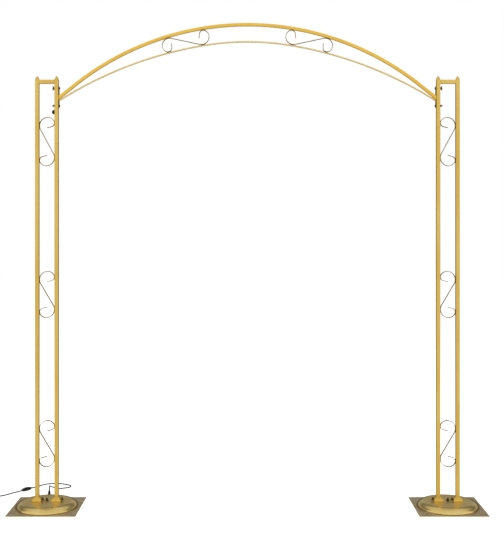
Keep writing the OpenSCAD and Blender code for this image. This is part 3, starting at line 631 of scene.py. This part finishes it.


# A darker, browner copy of the gold paint for the scrolls: painted shade.
dark = Finish(bpy.data.materials.new("shade_painted_gold_paint"))
shade_painted_gold = dark.surface(
    base_color=dark.ramp(dark.noise(40, 3), (0.35, (0.27, 0.19, 0.03)), (0.65, (0.42, 0.31, 0.07))),
    metallic=0.6, roughness=dark.noise(90, 4) * 0.14 + 0.3,
    normal=dark.bump(dark.noise(800, 2), 0.000005))
# Near-black weld beads: partly the welds' dark colour, partly painted shade where the curls bear on posts and
# arch.
weld_shade = Finish(bpy.data.materials.new("dark_weld_and_shade"))
dark_weld_and_shade = weld_shade.surface(
    base_color=weld_shade.ramp(weld_shade.noise(260, 3), (0.3, (0.014, 0.009, 0.004)), (0.7, (0.04, 0.026, 0.01))),
    metallic=0.4, roughness=weld_shade.noise(400, 3) * 0.2 + 0.4, normal=weld_shade.bump(weld_shade.noise(900, 3), 0.0001))
half = 0.04 - strip_t / 2 - touch
for where, length in (("upper", 0.252), ("middle", 0.241), ("lower", 0.241)):
    middle_z = np.mean([corner[2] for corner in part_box(f"right_{where}_scroll")])
    centre = np.array([crown_shift, (length - strip_t) / 2 - half - crown_shift])
    bent = scroll(centre, 90, half, -centre, 270, half) * [-1, 1, 1]
    both_sides(where + "_scroll_strip", [(moved(bent, (tower_x, 0, middle_z)), "caps")],
               shade_painted_gold, "scroll_paint", where + "_scroll", sharp=30)
    beads = welds(centre, 90, half) + welds(-centre, 270, half)
    both_sides(where + "_scroll_welds", [(moved(grid * [-1, 1, 1], (tower_x, 0, middle_z)), how)
                                         for grid, how in beads], dark_weld_and_shade, "scroll_paint")


# Arch. A 16 mm square tube bent to one circle, with its ends left straight, and under it a 9 mm
# round rod bent to a middle arc and two flatter ones. Both are welded to the end plates.
arch_r, arch_top, arch_tube, arch_wall = 1.425, 2.484, 0.016, 0.0015
arch_cz = arch_top - arch_r
face_x = 0.969
inner_face_x = 0.972
straight_from_x = 0.885
straight_from = math.asin(straight_from_x / arch_r)


def arch_tube_grid(size, corner, forward):
    """The tube's wall along the arch: each line of the section runs at its own radius to where the
    tube is straight, and then on along its tangent to the end plate."""
    section = outline(size, size, corner)
    radius = arch_r + section[:, 0]
    angle = np.linspace(-1, 1, 161)[:, None] * straight_from + 0 * radius
    flat = radius[:, None] * heading(90 - np.degrees(angle))
    tangent = heading(-np.degrees([-straight_from, straight_from]))
    reach = (face_x - np.abs(flat[[0, -1], :, 0])) / tangent[:, :1]
    tips = flat[[0, -1]] + np.array([-1, 1])[:, None, None] * reach[..., None] * tangent[:, None]
    flat = np.concatenate([tips[:1], flat, tips[1:]])
    depth = np.broadcast_to(section[:, 1], flat.shape[:2])
    grid = np.stack([flat[..., 0], depth, arch_cz + flat[..., 1]], axis=-1)
    return grid if forward else grid[::-1]


arch_outer = arch_tube_grid(arch_tube, 0.0016, True)
bright = Finish(bpy.data.materials.new("bright_gold_paint"))
bright_paint = bright.surface(
    base_color=bright.ramp(bright.noise(8, 3), (0.34, (0.88, 0.54, 0.06)), (0.66, (0.93, 0.61, 0.085))),
    metallic=0.85, roughness=bright.noise(50, 4) * 0.08 + 0.27,
    normal=bright.bump(bright.noise(600, 2), 0.000004))
make_piece("arch_square_tube", [(np.concatenate([
    arch_outer, arch_tube_grid(arch_tube - 2 * arch_wall, 0.0008, False)]), "meet")],
    bright_paint, "gold_paint", "arch_upper_tube")

rod_r = 0.0045
rod_mid_r, rod_mid_x, rod_drop, rod_end_drop = 1.359, 0.222, 0.088, 0.0095
rod_cz = arch_top - rod_drop - rod_mid_r
rod_turn = math.asin(rod_mid_x / rod_mid_r)
rod_normal = np.array([math.sin(rod_turn), math.cos(rod_turn)])
end_z = arch_cz + math.sqrt(arch_r ** 2 - inner_face_x ** 2) - rod_end_drop
rod_step = np.array([inner_face_x - rod_mid_x, end_z - rod_cz - rod_mid_r * rod_normal[1]])
rod_end_r = -(rod_step @ rod_step) / (2 * rod_normal @ rod_step)
rod_end_c = np.array([0, rod_cz]) + (rod_mid_r - rod_end_r) * rod_normal
rod_end_turn = math.asin((inner_face_x - rod_end_c[0]) / rod_end_r)


def rod_half():
    """Half of the rod, crown to post: a ring about the middle line at each angle, as far as the
    end plate."""
    angle = np.concatenate([np.linspace(0, rod_turn, 30), np.linspace(rod_turn, rod_end_turn, 120)[1:]])
    in_middle = angle <= rod_turn
    radius = np.where(in_middle, rod_mid_r, rod_end_r)
    centre = np.where(in_middle[:, None], [0, rod_cz], rod_end_c)
    outward = np.stack([np.sin(angle), np.cos(angle)], axis=1)
    ring = 2 * np.pi * np.arange(20) / 20
    line = centre + radius[:, None] * outward
    flat = line[:, None] + rod_r * np.cos(ring)[None, :, None] * outward[:, None]
    depth = rod_r * np.sin(ring)
    over = flat[..., 0] > face_x
    last = np.argmax(over | (np.arange(len(angle)) == len(angle) - 1)[:, None], axis=0)
    step = np.minimum(np.arange(len(angle))[:, None], last)
    flat = flat[step, np.arange(20)]
    return np.stack([flat[..., 0], np.broadcast_to(depth, flat.shape[:2]), flat[..., 1]], axis=-1)


# A paler, yellower copy of the gold paint for the rod, almost not metallic: a painted highlight.
pale = Finish(bpy.data.materials.new("highlight_painted_gold_paint"))
highlight_painted_gold = pale.surface(
    base_color=pale.ramp(pale.noise(14, 3), (0.35, (0.98, 0.73, 0.24)), (0.65, (1.0, 0.81, 0.34))),
    metallic=0.1, roughness=pale.noise(60, 4) * 0.1 + 0.3,
    normal=pale.bump(pale.noise(600, 2), 0.000004))
rod_right = rod_half()
make_piece("arch_round_rod", [(np.concatenate([(rod_right * [-1, 1, 1])[:0:-1], rod_right]), "caps")],
           highlight_painted_gold, "pale_gold", "arch_lower_rod")


def lattice(degrees):
    """On a ray from the arch's centre: half the gap between tube and rod, and its middle's radius."""
    ray = heading(90 - degrees)
    gap = rod_end_c - [0, arch_cz]
    along = ray @ gap
    rod_out = along + math.sqrt((rod_end_r + rod_r) ** 2 - gap @ gap + along ** 2)
    under = arch_r - arch_tube / 2
    return (under - rod_out) / 2, (under + rod_out) / 2


scroll_turn, curl_span = 13.4, 0.169
to_curl = math.degrees(curl_span / 2 / lattice(scroll_turn)[1])
lower_turn, upper_turn = scroll_turn + to_curl, scroll_turn - to_curl
(half_out, mid_out), (half_in, mid_in) = lattice(lower_turn), lattice(upper_turn)
arch_centre = np.array([0, arch_cz])
arch_curls = [
    (arch_centre + (mid_out - crown_shift) * heading(90 - lower_turn), -lower_turn,
     half_out - strip_t / 2 - touch),
    (arch_centre + (mid_in + crown_shift) * heading(90 - upper_turn), 180 - upper_turn,
     half_in - strip_t / 2 - touch)]
arch_scroll = [(scroll(*arch_curls[0], *arch_curls[1]), "caps")]
arch_beads = welds(*arch_curls[0], 0.02) + welds(*arch_curls[1], 0.02)
for where, side in (("right", arch_scroll), ("left", mirrored(arch_scroll))):
    make_piece(f"arch_{where}_scroll_strip", side, shade_painted_gold, "scroll_paint", f"arch_{where}_scroll", sharp=30)
both_sides("arch_scroll_welds", arch_beads, dark_weld_and_shade, "scroll_paint")


# End plates. Flat bar, 20 by 112 by 3 mm with eased edges, in dark brown primer. The arch is
# welded to them all round, tube and rod, and they are bolted to the inner posts.
def seam(path, radius):
    """A bead of weld all round a closed line on the end plate: a ring of small circles, which
    ripples as it goes."""
    along = np.roll(path, -1, axis=0) - np.roll(path, 1, axis=0)
    out = np.cross(along, [1.0, 0.0, 0.0])
    out /= np.linalg.norm(out, axis=1)[:, None]
    ring = heading(np.arange(0, 360, 30))
    size = radius * (1 + 0.07 * np.cos(np.arange(len(path)) * np.pi))[:, None, None]
    return path[:, None] + size * (ring[:, :1] * out[:, None] + ring[:, 1:] * np.array([1.0, 0, 0]))


def seam_line(ring, spacing):
    """Even steps along a closed ring of points."""
    closed = np.concatenate([ring, ring[:1]])
    run = np.concatenate([[0], np.cumsum(np.linalg.norm(np.diff(closed, axis=0), axis=1))])
    steps = np.linspace(0, run[-1], 2 * round(run[-1] / spacing / 2), endpoint=False)
    return np.column_stack([np.interp(steps, run, closed[:, k]) for k in range(3)])


joint_z = np.mean([corner[2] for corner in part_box("right_end_plate")])
brown = Finish(bpy.data.materials.new("brown_primer"))
brown_primer = brown.surface(
    base_color=brown.ramp(brown.noise(90, 4), (0.3, (0.045, 0.025, 0.009)), (0.7, (0.09, 0.055, 0.02))),
    metallic=0.25, roughness=brown.noise(150, 3) * 0.16 + 0.42, normal=brown.bump(brown.noise(700, 3), 0.00003))
plate = stacked(0.112, 0.02, 0.0012, [(0.0005, 0), (0, 0.0005), (0, 0.0025), (0.0005, 0.003)])[:, :, [2, 1, 0]]
both_sides("joint_end_plate", [(moved(plate, (face_x, 0, joint_z)), "caps")],
           brown_primer, "gold_paint", "end_plate")
both_sides("arch_end_welds", [(seam(seam_line(ring, 0.0016), 0.0024), "meet")
                              for ring in (arch_outer[-1], rod_right[-1])], bright_paint, "gold_paint")


# Joint bolts and wing nuts. Two cup-headed bolts go through each end plate and inner post from the
# walkway side, on thin washers, with a wing nut at the far side of the post.
bolt_zs = [joint_z - 0.045, joint_z + 0.045]
head_turn = np.radians(np.linspace(0, 86, 12))
head = turned(np.concatenate([
    [[0.003, 0.001], [0.003, 0.0001], [0.0072, 0.0001], [0.0075, 0.0004], [0.0075, 0.0009], [0.007, 0.0012]],
    np.column_stack([0.0068 * np.cos(head_turn), 0.0012 + 0.0042 * np.sin(head_turn)])]), 40)
shank = [(turned([[0.003, -0.0005], [0.003, 0.0225]], 32), "caps"),
         (thread(0.003, 0.001, 0.0225, 0.0345), "caps")]
washer = (turned([[0.0033, 0.0229], [0.0073, 0.0229], [0.0075, 0.0231], [0.0075, 0.0239], [0.0073, 0.0241],
                  [0.0033, 0.0241]], 40), "meet")
both_sides("joint_bolt_set", [
    (framed(head, (face_x, 0, z), (-1, 0, 0), (0, 1, 0)), "caps") for z in bolt_zs]
    + [(framed(grid, (face_x, 0, z), (1, 0, 0), (0, 1, 0)), how)
       for z in bolt_zs for grid, how in shank + [washer]], dull_zinc, "dark_steel", "joint_bolts")
nut_x = inner_face_x + post_tube + 0.0012
ears_along = [(0, 1, 0), (0, 0.1, 0.995)]
both_sides("joint_wing_nut_set", [
    (framed(grid, (nut_x, 0, z), (1, 0, 0), side), how)
    for z, side in zip(bolt_zs, ears_along) for grid, how in wing_nut(0.0066, 0.007, 0.026)],
    dull_zinc, "dark_steel", "joint_wing_nuts")


# Studio. A plain white floor and sky behind the arch. What lights the paint is an even grey, and what
# it mirrors has a dark stretch low behind the arch, a pale band over it and a dark band above that.
floor_mesh = bpy.data.meshes.new("floor")
floor_mesh.from_pydata([(-20, -20, 0), (20, -20, 0), (20, 20, 0), (-20, 20, 0)], [], [(0, 1, 2, 3)])
floor = bpy.data.objects.new("floor", floor_mesh)
bpy.context.scene.collection.objects.link(floor)
floor.visible_glossy = floor.visible_diffuse = False
floor_paper = Finish(bpy.data.materials.new("floor_paper"))
floor_mesh.materials.append(floor_paper.surface(
    base_color=(0.9, 0.9, 0.9), roughness=0.9, emission_color=(1.0, 1.0, 1.0), emission_strength=0.7))

world = bpy.data.worlds.new("studio")
bpy.context.scene.world = world
sky = Finish(world)
direction = sky.node("ShaderNodeTexCoord", out="Generated")
split = sky.node("ShaderNodeSeparateXYZ", {}, {0: direction})
towards_back = Value(sky, split.socket.node.outputs[1])
upwards = Value(sky, split.socket.node.outputs[2])


def greys(*stops):
    """Warm greys for a ramp: stops are (height of the direction, brightness)."""
    return [(0.5 + high / 2, (grey, grey * 0.98, grey * 0.95)) for high, grey in stops]


behind = sky.ramp(upwards * 0.5 + 0.5, *greys(
    (-1, 0.5), (-0.26, 0.45), (-0.2, 0.05), (0.16, 0.05), (0.22, 0.46), (0.36, 0.5), (0.44, 0.12), (0.62, 0.14),
    (0.78, 0.7), (1, 0.8)))
ahead = sky.ramp(upwards * 0.5 + 0.5, *greys(
    (-1, 0.5), (-0.3, 0.9), (0, 0.88), (0.3, 0.97), (0.6, 0.9), (1, 0.8)))
is_behind = sky.ramp(towards_back * 0.5 + 0.5, (0.45, (0, 0, 0)), (0.55, (1, 1, 1)))
mirrored_sky = sky.blend(is_behind, ahead, behind)
in_mirror = sky.node("ShaderNodeLightPath", out="Is Glossy Ray")
seen = sky.node("ShaderNodeLightPath", out="Is Camera Ray")
all_round = sky.ramp(upwards * 0.5 + 0.5, (0.4, (0.33, 0.33, 0.33)), (0.6, (0.38, 0.38, 0.38)))
colour = sky.blend(seen, sky.blend(in_mirror, all_round, mirrored_sky), (1.0, 1.0, 1.0))
sky.node("ShaderNodeOutputWorld", {}, {"Surface": sky.node("ShaderNodeBackground", {}, {"Color": colour})})


def soft_light(name, at, towards, size, watts):
    """A large square soft box at a place, turned to face a point, that no paint mirrors."""
    lamp = bpy.data.lights.new(name, "AREA")
    lamp.size, lamp.energy = size, watts
    box = bpy.data.objects.new(name, lamp)
    bpy.context.scene.collection.objects.link(box)
    box.location = at
    aim = np.array(towards) - np.array(at)
    box.rotation_euler = (math.atan2(np.hypot(aim[0], aim[1]), -aim[2]), 0, math.atan2(-aim[0], aim[1]))
    box.visible_glossy = False


soft_light("front_left_box", (-2.8, -5, 4.2), (0, 0, 1), 3, 90)
soft_light("front_right_box", (2.8, -5, 4.2), (0, 0, 1), 3, 90)
soft_light("back_soft_box", (0, 4, 5.5), (0, 0, 1), 3, 90)
